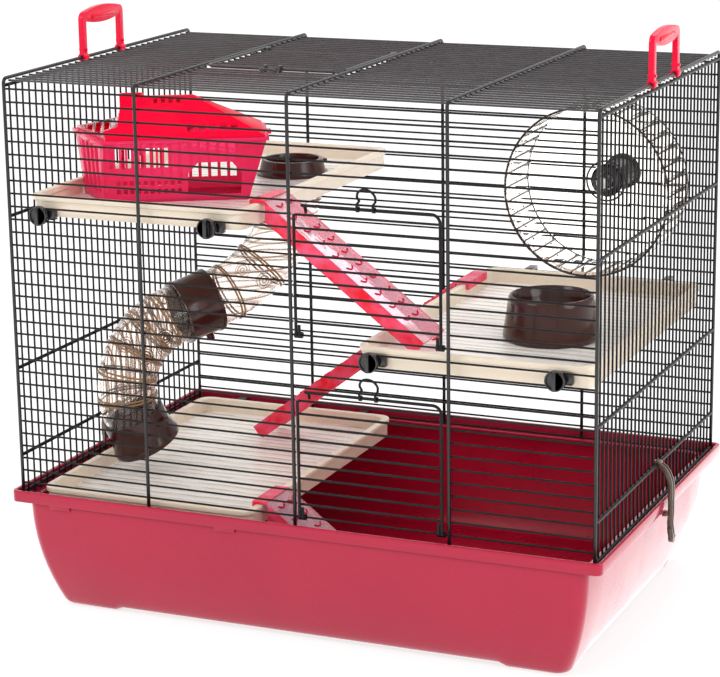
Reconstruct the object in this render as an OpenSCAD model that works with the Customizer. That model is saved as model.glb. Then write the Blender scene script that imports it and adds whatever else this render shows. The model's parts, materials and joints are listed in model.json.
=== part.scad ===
// Hamster cage: a wire top with three doors on a moulded tray, with shelves,
// tunnel, wheel, hut, bowl and ramps.
// Origin: middle of the base. X runs across the front, Y to the back, Z up.

/* [Wire cage] */
// Distance between the two end hoops
cage_w = 560; // [520:5:620]
// Distance between the front and back posts
cage_d = 364; // [356:2:380]
// Thickness of the posts, hoops and side rails
post_d = 3.5; // [3:0.1:3.8]
// Thickness of the thin wires
wire_d = 2.2; // [1.8:0.1:2.4]
// Number of thin wires up the front and back panels
wire_rows = 33; // [33:1:34]
// Spacing of the thin wires up the front and back panels
wire_pitch = 11.95; // [11.5:0.05:12.4]
// Spacing of the thin wires along the roof
roof_pitch = 12; // [11.8:0.05:12.2]
// Number of thin wires on the roof
roof_rows = 30; // [28:1:30]
// Spacing of the upright rods on the end panels
rod_pitch = 11.4; // [11.2:0.1:11.6]
// Number of upright rods on each end panel
rod_rows = 32; // [26:2:32]
// Distance of the two inner hoops from the middle hoop
hoop_gap = 147.5; // [144:0.5:155]
// Radius of the bend where a hoop turns from the front over the roof
hoop_bend_r = 5; // [4:1:8]
// How deep welded wires sink into each other
weld = 0.3; // [0.2:0.05:0.4]

/* [Doors] */
// Width of the doors, between the middles of their side wires
door_w = 136; // [120:1:138]
// Thickness of the door frame wire
door_wire_d = 2.8; // [2.4:0.1:3.2]
// Cross wires in each front door
front_door_rows = 9; // [7:1:9]
// Cross wires in the roof door
roof_door_rows = 10; // [8:1:11]
// Panel wire that the lower front door hangs on
lower_hinge_row = 1; // [1:1:2]
// Panel wire that the upper front door hangs on
upper_hinge_row = 15; // [15:1:17]
// Roof wire that the roof door hangs on
roof_hinge_row = 21; // [20:1:24]
// Radius of the rounded door corners
door_corner_r = 8; // [5:1:12]
// Running clearance of every wire eye
eye_clear = 0.1; // [0.08:0.01:0.1]
// Distance between the two legs of a latch
latch_w = 15; // [12:1:18]

/* [Tray] */
// Height of the tray
tray_h = 116; // [106:1:130]
// How far the rim stands out beyond the end hoops
rim_over_x = 10; // [9:0.5:14]
// How far the rim stands out beyond the front posts
rim_over_y = 10; // [9:0.5:14]
// Height of the outer band of the rim
rim_band_h = 11; // [9:0.5:13]
// Thickness of the tray walls
tray_wall = 3; // [2.4:0.1:4]
// How far the ends lean in at the bottom
tray_lean_x = 45; // [30:1:55]
// How far the front and back lean in at the bottom
tray_lean_y = 20; // [12:1:26]
// Corner radius of the tray body
tray_corner_r = 22; // [16:1:30]
// Height of the feet under the tray
foot_h = 3; // [2:0.5:5]

/* [Shelves] */
// Width of a shelf
shelf_w = 218; // [200:2:222]
// Gap between the front posts and the shelves
shelf_front_gap = 8; // [8:1:10]
// Gap between the shelves and the back posts
shelf_back_gap = 20; // [18:1:26]
// Height of a shelf's edge
shelf_h = 19; // [17:1:22]
// Depth of the hollow inside a shelf's lip
shelf_recess = 14; // [12:1:15]
// Width of a shelf's lip
shelf_lip = 7; // [5:0.5:9]
// Corner radius of a shelf
shelf_corner_r = 14; // [10:1:20]
// Back panel wire that carries the upper shelf
shelf_upper_row = 23; // [22:1:24]
// Back panel wire that carries the middle shelf
shelf_middle_row = 14; // [13:1:15]
// Height of the upper shelf's top above the wire that carries it
shelf_upper_rise = 10.5; // [8:0.1:12]
// Height of the middle shelf's top above the wire that carries it
shelf_middle_rise = 5; // [5:0.1:9]
// Height of the lower shelf's top above the lowest wire
shelf_lower_rise = 7.4; // [6:0.1:9]
// Gap between the left shelves and the left end panel
shelf_left_gap = 14; // [12:1:16]
// Gap between the middle shelf and the right end panel
shelf_right_gap = 5; // [5:1:9]
// Diameter of a clamping knob
knob_d = 18; // [15:1:19]
// Diameter of a knob's shank
knob_shank_d = 4.5; // [4:0.5:6]

/* [Wheel] */
// Radius of the running wheel
wheel_r = 80; // [65:1:80]
// Width of the running wheel
wheel_w = 65; // [50:1:70]
// Wall thickness of the running wheel
wheel_wall = 2; // [1.6:0.1:3]
// Number of rungs round the wheel
wheel_rungs = 36; // [24:2:40]
// Gap between the running wheel and the right end hoop
wheel_side_gap = 11; // [11:1:20]
// Height of the wheel's axle above the middle shelf's top
wheel_rise = 101; // [99:1:104]
// Diameter of the axle
axle_d = 6; // [5:0.5:8]
// Radial running clearance of the axle
axle_clear = 0.08; // [0.05:0.01:0.1]

/* [Tunnel] */
// Outer diameter of the clear tunnel
tube_d = 56; // [50:1:58]
// Wall thickness of the tunnel
tube_wall = 2; // [1.6:0.1:3]
// Bend radius of the lower elbow
lower_bend_r = 70; // [68:1:72]
// Bend radius of the upper elbow
upper_bend_r = 114; // [112:1:116]
// Length of the straight stretch between the elbows
tube_straight = 45; // [43:1:50]

/* [Accessories] */
// Outer radius of the bowl at its base
bowl_base_r = 44; // [36:1:46]
// Outer radius of the bowl at its rim
bowl_rim_r = 38; // [32:1:42]
// Height of the bowl
bowl_h = 40; // [30:1:50]
// Length of the hut's front at its rim
hut_l = 150; // [140:1:156]
// Depth of the hut at its rim
hut_d = 80; // [72:1:84]
// Height of the hut's base
hut_h = 60; // [54:1:62]
// Height of the hut's roof
hut_roof_h = 34; // [30:1:38]
// Width of a ramp
ramp_w = 50; // [44:1:56]
// Depth of a ramp's side flanges
ramp_flange = 15; // [10:1:17]

/* [Handles and clips] */
// Distance between the legs of a carrying handle
handle_w = 72; // [72:24:72]
// Height of a handle above the wire it turns on
handle_h = 46; // [38:1:56]
// Width of a side clip
clip_w = 10; // [8:1:12]

/* [Hidden] */
$fn = 48;

// Colours
wire_colour = [0.20, 0.19, 0.19];
tray_colour = [0.72, 0.16, 0.26];
shelf_colour = [0.92, 0.85, 0.76];
black_colour = [0.07, 0.07, 0.07];
brown_colour = [0.22, 0.11, 0.10];
red_colour = [0.90, 0.05, 0.18, 0.75];
grip_colour = [0.92, 0.16, 0.28];
smoke_colour = [0.80, 0.70, 0.60, 0.45];
clear_colour = [0.86, 0.84, 0.80, 0.35];
bronze_colour = [0.36, 0.30, 0.26];

// Small clearances shared by pieces that pass each other
gap = 0.6;
slip = 0.3;

// Cage frame
half_w = cage_w / 2;
half_d = cage_d / 2;
post_r = post_d / 2;
wire_r = wire_d / 2;
ledge_drop = 7.8;
ledge_z = tray_h - ledge_drop;
ledge_t = 3;
row_z0 = ledge_z + wire_r + 0.35;
hoop_x = [-half_w, -hoop_gap, 0, hoop_gap, half_w];
panel_y = half_d - post_r - wire_r + weld;
roof_z = row_z0 + (wire_rows - 1) * wire_pitch + 6 + wire_r;
hoop_z = roof_z + post_r + wire_r - weld;
rod_x = half_w - 2.5;
rail_x = rod_x + post_r + wire_r - weld;
rail_lift = 3.3;
rail_rows = [0, 3, 10, 22, wire_rows - 1];
rod_z0 = ledge_z + 0.8;
rod_top_z = rail_z(wire_rows - 1) + post_r - 0.1;
wire_end_x = half_w - 0.6;
roof_y0 = -(roof_rows - 1) * roof_pitch / 2;

function row_z(row) = row_z0 + row * wire_pitch;
function rail_z(row) = row_z(row) + rail_lift;
function roof_y(row) = roof_y0 + row * roof_pitch;

// Doors: the upper and lower ones share a bay, the roof one is left of the middle
door_r = door_wire_d / 2;
door_off = wire_r + eye_clear + door_r;
latch_gap = 3.2;
front_door_l = (front_door_rows + 1) * wire_pitch - latch_gap;
roof_door_l = (roof_door_rows + 1) * roof_pitch - latch_gap;
door_shift = 1;
door_x = hoop_gap / 2 - door_shift;
roof_door_x = -hoop_gap / 2;
stub_h = 9.5;
front_y = -panel_y;

// Tray
rim_x = half_w + rim_over_x;
rim_y = half_d + rim_over_y;
rim_t = 4;
rim_corner_r = 16;
rim_bottom = tray_h - rim_band_h;
body_in = 6;
body_x = rim_x - body_in;
body_y = rim_y - body_in;
lean_power = 1.75;
lean_steps = [0, 0.25, 0.5, 0.7, 0.85, 0.95, 1];
floor_t = 3;
foot_l = 62;
foot_w = 40;
foot_in_x = 40;
foot_in_y = 28;
tab_w = 17;
tab_at = [67, half_w - 43];
ledge_in_x = half_w - 10;
ledge_in_y = half_d - 6.5;

// Shelves
shelf_band_h = 5;
shelf_step = 2;
shelf_l = cage_d - shelf_front_gap - shelf_back_gap;
shelf_front_y = -half_d + shelf_front_gap;
shelf_mid_y = shelf_front_y + shelf_l / 2;
shelf_back_y = shelf_front_y + shelf_l;
shelf_left_x = -half_w + shelf_left_gap + shelf_w / 2;
shelf_right_x = half_w - shelf_right_gap - shelf_w / 2;
shelf_upper_z = row_z(shelf_upper_row) + shelf_upper_rise;
shelf_middle_z = row_z(shelf_middle_row) + shelf_middle_rise;
shelf_lower_z = row_z(0) + shelf_lower_rise;
hook_off = 70;
hook_w = 8;
knob_upper_z = row_z(shelf_upper_row) - wire_pitch / 2;
knob_middle_z = row_z(shelf_middle_row) - wire_pitch / 2;
knob_off = [-92, 78];
knob_y = front_y - wire_r - gap;
lug_w = 18;
lug_shift = 4;

// Wheel
wheel_x = half_w - wheel_side_gap - wheel_r;
wheel_z = shelf_middle_z + wheel_rise;
stand_room = 57;
wheel_back_y = half_d - stand_room;
wheel_front_y = wheel_back_y - wheel_w;
rung_r = 0.9;
hub_r = 14;
hub_l = 24;
hub_y = wheel_back_y - 12;
stand_y = hub_y + hub_l + gap;

// Tunnel: it climbs in one upright plane, measured along its own X and Z
tube_r = tube_d / 2;
bore_r = tube_r - tube_wall;
tube_in = [56, 124];
tube_at = [-half_w + tube_in[0], -half_d + tube_in[1], shelf_lower_z - 5];
tube_turn = 49.5;
foot_angle = 25;
climb_angle = 15;
elbow_x = -10;
elbow_z = 75;
straight_x = elbow_x + lower_bend_r * (1 - sin(climb_angle));
straight_z = elbow_z + lower_bend_r * cos(climb_angle);
rise_x = straight_x + tube_straight * cos(climb_angle);
rise_z = straight_z + tube_straight * sin(climb_angle);
tube_top_x = rise_x + upper_bend_r * (1 - sin(climb_angle));
tube_top_z = rise_z + upper_bend_r * cos(climb_angle);
collar_t = 2.6;
collar_l = 36;
top_x = tube_at[0] + tube_top_x * cos(tube_turn);
top_y = tube_at[1] + tube_top_x * sin(tube_turn);
shelf_hole_r = tube_r + collar_t + 0.2;

// Accessories
shelf_floor = -shelf_recess;
hut_off = [-3, -58];
hut_at = [shelf_left_x + hut_off[0], shelf_mid_y + hut_off[1], shelf_upper_z + shelf_floor];
hut_turn = 28;
hut_wall = 2.2;
hut_lean_x = 18;
hut_lean_y = 12;
// Turn and lean of the hut's left end, which spreads towards the back
hut_splay = 19;
hut_left_lean = 3;
hut_spread = hut_d * tan(hut_splay);
roof_t = 2.4;
gable_x = -62;
ridge_x = [-56, 9];
chimney_l = 22;
chimney_w = 20;
bowl_off = -28;
bowl_at = [wheel_x, shelf_mid_y + bowl_off, shelf_middle_z + shelf_floor];
ramp_slope = 37.5;
ramp_t = 2.5;
ramp_nose = 3;
hook_drop = 5;
hook_reach = shelf_lip + gap + ramp_t;
ramp_end_clear = 0.5;
// Middles of the ramps, from the front edge of the shelves
ramp_in = [59, 277, 49];
ramp_upper_y = shelf_front_y + ramp_in[0];
ramp_middle_y = shelf_front_y + ramp_in[1];
ramp_lower_y = shelf_front_y + ramp_in[2];

// Handles and clips
ring_t = 2.35;
ring_w = 8;
leg_w = 7;
grip_t = 5;
clip_tip_z = 80;
clip_neck = 2.3;
clip_neck_l = 27;

// ---- building blocks ----

// A straight round wire between two points
module rod(p, q, d) {
    v = q - p;
    l = norm(v);
    b = acos(v[2] / l);
    c = atan2(v[1], v[0]);
    translate(p) rotate([0, b, c]) cylinder(d = d, h = l);
}

// A bent round wire through a list of points
module bent_wire(points, d) {
    for (i = [0 : len(points) - 2]) rod(points[i], points[i + 1], d);
    for (i = [1 : len(points) - 2]) translate(points[i]) sphere(d = d * 1.03);
}

// A flat rounded rectangle, drawn about its middle
module rounded_rect(w, l, r) {
    square([w - 2 * r, l], center = true);
    square([w, l - 2 * r], center = true);
    for (sx = [-1, 1], sy = [-1, 1])
        translate([sx * (w / 2 - r), sy * (l / 2 - r)]) circle(r);
}

// A ring about the X axis
module eye(inner, outer, w) {
    rotate([0, 90, 0]) difference() {
        cylinder(r = outer, h = w, center = true);
        cylinder(r = inner, h = w + 2, center = true);
    }
}

// A rod along X
module cross_wire(x0, x1, y, z, d) {
    translate([x0, y, z]) rotate([0, 90, 0]) cylinder(d = d, h = x1 - x0);
}

// ---- wire cage ----

module hoop(x) {
    straight = hoop_z - hoop_bend_r;
    run = half_d - hoop_bend_r;
    for (s = [-1, 1]) {
        translate([x, s * half_d, ledge_z]) cylinder(r = post_r, h = straight - ledge_z);
        translate([x, s * run, straight]) rotate([0, -90, 90 - 90 * s])
            rotate_extrude(angle = 90) translate([hoop_bend_r, 0]) circle(post_r);
    }
    translate([x, -run, hoop_z]) rotate([-90, 0, 0]) cylinder(r = post_r, h = 2 * run);
}

module hoops() {
    color(wire_colour) for (x = hoop_x) hoop(x);
}

// True where a front wire has to stop for a door
function in_front_door(row) =
    (row > lower_hinge_row && row <= lower_hinge_row + front_door_rows) ||
    (row > upper_hinge_row && row <= upper_hinge_row + front_door_rows);

function in_roof_door(row) = row < roof_hinge_row && row >= roof_hinge_row - roof_door_rows;

module front_wires() {
    stop = post_r - 0.5;
    color(wire_colour) for (row = [0 : wire_rows - 1]) {
        if (in_front_door(row)) {
            cross_wire(-wire_end_x, stop, front_y, row_z(row), wire_d);
            cross_wire(hoop_gap - stop, wire_end_x, front_y, row_z(row), wire_d);
        } else {
            cross_wire(-wire_end_x, wire_end_x, front_y, row_z(row), wire_d);
        }
    }
}

module back_wires() {
    color(wire_colour) for (row = [0 : wire_rows - 1])
        cross_wire(-wire_end_x, wire_end_x, panel_y, row_z(row), wire_d);
}

module roof_wires() {
    stop = post_r - 0.5;
    color(wire_colour) for (row = [0 : roof_rows - 1]) {
        if (in_roof_door(row)) {
            cross_wire(-wire_end_x, -hoop_gap + stop, roof_y(row), roof_z, wire_d);
            cross_wire(-stop, wire_end_x, roof_y(row), roof_z, wire_d);
        } else {
            cross_wire(-wire_end_x, wire_end_x, roof_y(row), roof_z, wire_d);
        }
    }
}

module side_rods(side) {
    color(wire_colour) for (i = [0 : rod_rows - 1])
        translate([side * rod_x, (i - (rod_rows - 1) / 2) * rod_pitch, rod_z0])
            cylinder(r = wire_r, h = rod_top_z - rod_z0);
}

module side_rails(side) {
    reach = half_d - post_r + weld;
    color(wire_colour) for (row = rail_rows)
        translate([side * rail_x, -reach, rail_z(row)]) rotate([-90, 0, 0])
            cylinder(r = post_r, h = 2 * reach);
}

// ---- doors ----

// A door standing on its hinge wire, which runs along X through the origin; outside is -Y
module wire_door(l, rows, pitch) {
    x = door_w / 2;
    top = l - door_corner_r;
    bore = wire_r + eye_clear;
    // The wire wraps round the hinge wire and ends in a short stub beside itself
    stub_in = door_wire_d + slip;
    color(wire_colour) {
        for (s = [-1, 1]) {
            translate([s * x, -door_off, 0]) cylinder(r = door_r, h = top);
            translate([s * (x - stub_in), -door_off, 0]) cylinder(r = door_r, h = stub_h);
            translate([s * (x - stub_in / 2), 0, 0]) eye(bore, bore + 1.7, stub_in + door_wire_d + 1.2);
            translate([s * (x - door_corner_r), -door_off, top]) rotate([90, 0, s > 0 ? 0 : 90])
                rotate_extrude(angle = 90) translate([door_corner_r, 0]) circle(door_r);
        }
        cross_wire(-x + door_corner_r, x - door_corner_r, -door_off, l, door_wire_d);
        for (i = [1 : rows])
            cross_wire(-x, x, -door_off + door_r + wire_r - weld, i * pitch, wire_d);
    }
}

// A latch on a door's top bar, which runs along X through the origin
module wire_latch() {
    x = latch_w / 2;
    arch_r = x + 1;
    arch_lean = 22;
    leg_y = -(door_r + eye_clear + wire_r);
    arch_at = [1.2, 10];
    color(wire_colour) {
        for (s = [-1, 1]) {
            translate([s * x, 0, 0]) eye(door_r + eye_clear, door_r + eye_clear + 1.1, 2.4);
            bent_wire([[s * x, leg_y, 0], [s * x, leg_y, 4.6], [s * x, 3.2, 6.4],
                       [s * arch_r, arch_at[0], arch_at[1]]], wire_d);
            translate([s * arch_r, arch_at[0], arch_at[1]]) sphere(d = wire_d * 1.03);
        }
        translate([0, arch_at[0], arch_at[1]]) rotate([90 + arch_lean, 0, 0])
            rotate_extrude(angle = 180) translate([arch_r, 0]) circle(wire_r);
    }
}

module on_front_hinge(row) {
    translate([door_x, front_y, row_z(row)]) children();
}

module on_roof_hinge() {
    translate([roof_door_x, roof_y(roof_hinge_row), roof_z])
        rotate([0, 0, 180]) rotate([-90, 0, 0]) children();
}

module door_upper() {
    on_front_hinge(upper_hinge_row) wire_door(front_door_l, front_door_rows, wire_pitch);
}

module door_lower() {
    on_front_hinge(lower_hinge_row) wire_door(front_door_l, front_door_rows, wire_pitch);
}

module door_top() {
    on_roof_hinge() wire_door(roof_door_l, roof_door_rows, roof_pitch);
}

module latch_upper() {
    on_front_hinge(upper_hinge_row) translate([0, -door_off, front_door_l]) wire_latch();
}

module latch_lower() {
    on_front_hinge(lower_hinge_row) translate([0, -door_off, front_door_l]) wire_latch();
}

module latch_top() {
    on_roof_hinge() translate([0, -door_off, roof_door_l]) wire_latch();
}

// ---- tray ----

// One level of the tapering tub, as four corner discs for a hull
module tub_level(step, inset, z) {
    lean = pow(step, lean_power);
    x = body_x - tray_lean_x * lean - inset;
    y = body_y - tray_lean_y * lean - inset;
    r = tray_corner_r - inset;
    for (sx = [-1, 1], sy = [-1, 1])
        translate([sx * (x - r), sy * (y - r), z]) cylinder(r = r, h = 0.5, $fn = 32);
}

module tub_outside() {
    drop = rim_bottom - foot_h - 0.5;
    hull() for (step = lean_steps)
        tub_level(step, 0, rim_bottom - drop * step);
}

module tub_inside() {
    top = ledge_z - ledge_t - 0.5;
    drop = top - foot_h - floor_t;
    hull() for (step = lean_steps)
        tub_level(step, tray_wall, top - drop * step);
}

module tray() {
    gusset_y = 9;
    gusset_h = 22;
    gusset_at = -body_y + tray_wall - 0.5;
    color(tray_colour) {
        difference() {
            union() {
                tub_outside();
                translate([0, 0, rim_bottom]) linear_extrude(rim_band_h)
                    rounded_rect(2 * rim_x, 2 * rim_y, rim_corner_r);
                for (s = [-1, 1], x = tab_at)
                    translate([s * x - tab_w / 2, s < 0 ? -rim_y : rim_y - 2, rim_bottom - 6])
                        cube([tab_w, 2, 6.5]);
                for (sx = [-1, 1], sy = [-1, 1])
                    translate([sx * (body_x - tray_lean_x - foot_in_x),
                               sy * (body_y - tray_lean_y - foot_in_y), 0])
                        linear_extrude(foot_h + 1) rounded_rect(foot_l, foot_w, 12);
            }
            translate([0, 0, ledge_z]) linear_extrude(ledge_drop + 1)
                rounded_rect(2 * (rim_x - rim_t), 2 * (rim_y - rim_t), rim_corner_r - rim_t);
            translate([0, 0, ledge_z - ledge_t - 1]) linear_extrude(ledge_t + 2)
                rounded_rect(2 * ledge_in_x, 2 * ledge_in_y, 12);
            tub_inside();
        }
        // Brackets under the front edge of the lower shelf
        for (x = [-hook_off, hook_off])
            translate([shelf_left_x + x - 4, gusset_at, shelf_lower_z - shelf_h - gusset_h])
                rotate([90, 0, 90]) linear_extrude(8) polygon(
                    [[0, 0], [0, gusset_h], [shelf_front_y + gusset_y - gusset_at, gusset_h]]);
    }
}

// ---- handles and clips ----

// A split ring about the Y axis; the slot looks down
module snap_ring(outer) {
    inner = post_r + eye_clear;
    rotate([90, 0, 0]) difference() {
        cylinder(r = outer, h = ring_w, center = true);
        cylinder(r = inner, h = ring_w + 2, center = true);
        translate([-1.1, -outer - 1, -ring_w]) cube([2.2, outer, 2 * ring_w]);
    }
}

// Arched top bar, thicker in its middle, on two straight legs
module handle_outline(top) {
    outer = handle_w / 2 + leg_w / 2;
    inner = outer - leg_w;
    arch_r = 2.2 * handle_w;
    bay = 16;
    shoulder = 8;
    difference() {
        intersection() {
            union() {
                translate([-outer, 2.5]) square([2 * outer, top - shoulder - 5.5]);
                translate([-outer + shoulder, 2.5]) square([2 * (outer - shoulder), top]);
                for (s = [-1, 1]) translate([s * (outer - shoulder), top - shoulder - 3]) circle(shoulder);
            }
            translate([0, top - arch_r]) circle(arch_r, $fn = 240);
        }
        difference() {
            translate([-inner, -1]) square([2 * inner, top - 11]);
            translate([0, top - bay + arch_r]) circle(arch_r, $fn = 240);
        }
    }
}

module handle(side) {
    color(grip_colour) translate([side * half_w, 0, hoop_z]) {
        difference() {
            rotate([90, 0, 90]) linear_extrude(grip_t, center = true) handle_outline(handle_h);
            for (s = [-1, 1]) translate([0, s * handle_w / 2, 0]) rotate([90, 0, 0])
                cylinder(r = post_r + eye_clear, h = ring_w + 4, center = true);
        }
        // Rounded grip under the arch, and a snap ring and a pin at each foot
        translate([0, 0, handle_h - 9]) rotate([90, 0, 0]) cylinder(r = 3.6, h = 44, center = true);
        for (s = [-1, 1]) translate([0, s * handle_w / 2, 0]) {
            snap_ring(post_r + ring_t);
            translate([0, 0, post_r + 5.5]) rotate([0, 90, 0]) cylinder(r = 1.5, h = grip_t + 3, center = true);
        }
    }
}

// Side clip: bows out from the rail, passes the rim, hooks under it and ends in a tongue.
// Its line is given from the rail, outwards and up.
clip_t = 3;
clip_out = rim_x + 2.1 + clip_t / 2 - rail_x;
clip_hook = rim_bottom - 1.3 - rail_z(3);
clip_end = clip_tip_z - rail_z(3);
clip_line = [[3, -0.6], [7.2, -3.4], [clip_out - 3.4, -8], [clip_out - 1.2, -13.5],
             [clip_out - 0.2, -19], [clip_out, -26], [clip_out, clip_hook],
             [clip_out - 0.5, clip_hook * 0.6 + clip_end * 0.4],
             [clip_out + 0.2, clip_hook * 0.25 + clip_end * 0.75], [clip_out + 1.6, clip_end]];

// Unit vector across a line of points at one of them
function across(line, i) =
    let (v = line[min(i + 1, len(line) - 1)] - line[max(i - 1, 0)]) [-v[1], v[0]] / norm(v);

// A band of even thickness that follows a line of points
module ribbon(line, t) {
    last = len(line) - 1;
    polygon(concat([for (i = [0 : last]) line[i] + across(line, i) * t / 2],
                   [for (i = [last : -1 : 0]) line[i] - across(line, i) * t / 2]));
}

module clip(side) {
    inner = post_r + eye_clear;
    outer = post_r + ring_t;
    hook_x = rim_x - 3.5 - rail_x;
    color(bronze_colour) translate([side * rail_x, 0, rail_z(3)]) mirror([side < 0 ? 1 : 0, 0, 0])
        rotate([90, 0, 0]) difference() {
            union() {
                linear_extrude(clip_w, center = true) ribbon(clip_line, clip_t);
                for (y = [-clip_w / 2 + 2.2, clip_w / 2 - 2.2]) translate([0, 0, y])
                    linear_extrude(1.8, center = true) ribbon(clip_line, clip_t + 1.6);
                cylinder(r = outer, h = ring_w, center = true);
                translate([hook_x, clip_hook - 2.5, -clip_w / 2])
                    cube([clip_out - hook_x, 2.5, clip_w]);
                translate([clip_out - 1, clip_end + 0.4, 0]) rotate([0, 90, 0])
                    cylinder(r = clip_w / 2 - 0.2, h = 4.2);
            }
            cylinder(r = inner, h = clip_w + 2, center = true);
            // Narrow neck past the rim, above the spoon-shaped tip
            for (s = [-1, 1]) translate([clip_out - 3.2, clip_end + 10, s * clip_w / 2 - clip_neck])
                cube([12, clip_neck_l, 2 * clip_neck]);
            rotate([0, 0, 200]) translate([0, -1.1, -clip_w]) cube([outer + 1, 2.2, 2 * clip_w]);
        }
}

// ---- shelves ----

// A shelf about its own middle, with its top at z = 0
module shelf_body() {
    difference() {
        union() {
            translate([0, 0, -shelf_band_h]) linear_extrude(shelf_band_h)
                rounded_rect(shelf_w, shelf_l, shelf_corner_r);
            translate([0, 0, -shelf_h]) linear_extrude(shelf_h)
                rounded_rect(shelf_w - 2 * shelf_step, shelf_l - 2 * shelf_step,
                             shelf_corner_r - shelf_step);
        }
        translate([0, 0, shelf_floor]) linear_extrude(shelf_recess + 1)
            rounded_rect(shelf_w - 2 * shelf_lip, shelf_l - 2 * shelf_lip,
                         shelf_corner_r - shelf_step);
    }
}

module shelf_upper() {
    color(shelf_colour) translate([shelf_left_x, shelf_mid_y, shelf_upper_z]) difference() {
        shelf_body();
        translate([top_x - shelf_left_x, top_y - shelf_mid_y, -shelf_h - 1])
            cylinder(r = shelf_hole_r, h = shelf_h);
    }
}

module shelf_middle() {
    color(shelf_colour) translate([shelf_right_x, shelf_mid_y, shelf_middle_z]) shelf_body();
}

module shelf_lower() {
    color(shelf_colour) translate([shelf_left_x, shelf_mid_y, shelf_lower_z]) shelf_body();
}

// Arm that hangs the back edge of a shelf on a back panel wire, `rise` below the shelf's top.
// Its tip ends above the tray's ledge.
module shelf_hook(x, z, rise) {
    seat = wire_r - rise;
    reach = panel_y + wire_r + gap - shelf_back_y;
    foot = min(-shelf_band_h, seat) - 4;
    tip = max(seat - 5, ledge_z + slip - z);
    translate([x - hook_w / 2, shelf_back_y, z]) rotate([90, 0, 90]) linear_extrude(hook_w)
        polygon([[0, -1], [0, foot], [3, foot], [5, seat], [reach, seat], [reach, tip],
                 [reach + 2.4, tip], [reach + 2.4, seat + 3.5], [5, seat + 3.5], [2.5, -1]]);
}

module shelf_hooks() {
    color(black_colour) for (s = [-1, 1]) {
        shelf_hook(shelf_left_x + s * hook_off, shelf_upper_z, shelf_upper_rise);
        shelf_hook(shelf_right_x + s * hook_off, shelf_middle_z, shelf_middle_rise);
        shelf_hook(shelf_left_x + s * hook_off, shelf_lower_z, shelf_lower_rise);
    }
}

// Knob about the Y axis, with a shank that runs inwards between two wires
module knob_at(x, z) {
    r = knob_d / 2;
    color(black_colour) translate([x, knob_y, z]) rotate([90, 0, 0]) {
        difference() {
            cylinder(r = r, h = 5);
            translate([0, 0, 3.2]) cylinder(r = r - 1.6, h = 3);
        }
        intersection() {
            translate([-1.7, -r, 2]) cube([3.4, knob_d, 5.5]);
            cylinder(r = r - 0.6, h = 9);
        }
        translate([0, 0, -shank_l]) cylinder(d = knob_shank_d, h = shank_l + 1);
    }
}

lug_front = front_y + wire_r + 0.25;
lug_l = shelf_front_y + shelf_step - lug_front;
shank_l = lug_front - knob_y + lug_l - 1.2;

module lug(x, z) {
    translate([x, lug_front, z]) difference() {
        translate([lug_shift - lug_w / 2, 0, -4.5]) cube([lug_w, lug_l, 9]);
        rotate([-90, 0, 0]) translate([0, 0, -1])
            cylinder(r = knob_shank_d / 2 + eye_clear, h = lug_l + 0.3);
    }
}

module knob_lugs() {
    color(black_colour) for (x = knob_off) {
        lug(shelf_left_x + x, knob_upper_z);
        lug(shelf_right_x + x, knob_middle_z);
    }
}

// ---- wheel ----

module wheel_drum() {
    color(clear_colour) translate([wheel_x, wheel_front_y, wheel_z]) rotate([-90, 0, 0]) {
        difference() {
            cylinder(r = wheel_r, h = wheel_w);
            translate([0, 0, -1]) cylinder(r = wheel_r - 5, h = 3.4);
            translate([0, 0, 2]) cylinder(r = wheel_r - wheel_wall, h = wheel_w - 2 - wheel_wall);
            translate([0, 0, wheel_w - wheel_wall - 1]) cylinder(r = hub_r, h = wheel_wall + 2);
        }
        // Rungs, sunk into the wall
        for (i = [0 : wheel_rungs - 1]) rotate([0, 0, i * 360 / wheel_rungs])
            translate([wheel_r - wheel_wall - 0.4, 0, 1.5])
                cylinder(r = rung_r, h = wheel_w - 2.5, $fn = 6);
    }
}

module wheel_hub() {
    color(black_colour) translate([wheel_x, hub_y, wheel_z]) rotate([-90, 0, 0]) difference() {
        union() {
            cylinder(r = 8, h = hub_l);
            translate([0, 0, wheel_back_y - hub_y - wheel_wall]) cylinder(r = hub_r, h = wheel_wall);
            translate([0, 0, wheel_back_y - hub_y]) cylinder(r = hub_r + 2, h = 2);
        }
        translate([0, 0, -1]) cylinder(r = axle_d / 2 + axle_clear, h = hub_l + 2);
    }
}

module wheel_axle() {
    cap = 3;
    color([0.6, 0.6, 0.62]) translate([wheel_x, hub_y - gap - cap, wheel_z]) rotate([-90, 0, 0]) {
        cylinder(d = axle_d + 5, h = cap);
        cylinder(d = axle_d, h = cap + gap + hub_l + gap + 18);
    }
}

module wheel_stand() {
    back = panel_y - wire_r - 0.3;
    l = back - stand_y;
    color(black_colour) translate([wheel_x, stand_y, wheel_z]) difference() {
        rotate([-90, 0, 0]) union() {
            cylinder(r1 = 8, r2 = 15, h = l - 3);
            translate([0, 0, l - 4]) cylinder(r = 18, h = 4);
        }
        rotate([-90, 0, 0]) translate([0, 0, -1]) cylinder(d = axle_d, h = 19);
        translate([0, l - 12, bolt_z - wheel_z]) rotate([-90, 0, 0]) cylinder(d = 4, h = 14);
    }
}
bolt_z = row_z(round((wheel_z - row_z0) / wire_pitch - 0.5) + 0.5);

module wheel_bolt() {
    shank = panel_y + wire_r + 0.4;
    color(black_colour) translate([wheel_x, panel_y - wire_r - 0.3 - 11, bolt_z]) rotate([-90, 0, 0]) {
        cylinder(d = 4, h = shank - panel_y + wire_r + 0.3 + 11 + 0.5);
        translate([0, 0, shank - panel_y + wire_r + 0.3 + 11]) cylinder(d = 16, h = 5);
    }
}

// ---- tunnel ----

module in_tunnel() {
    translate(tube_at) rotate([0, 0, tube_turn]) children();
}

module pipe_ring(inner, outer) {
    difference() {
        circle(outer);
        if (inner > 0) circle(inner);
    }
}

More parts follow.
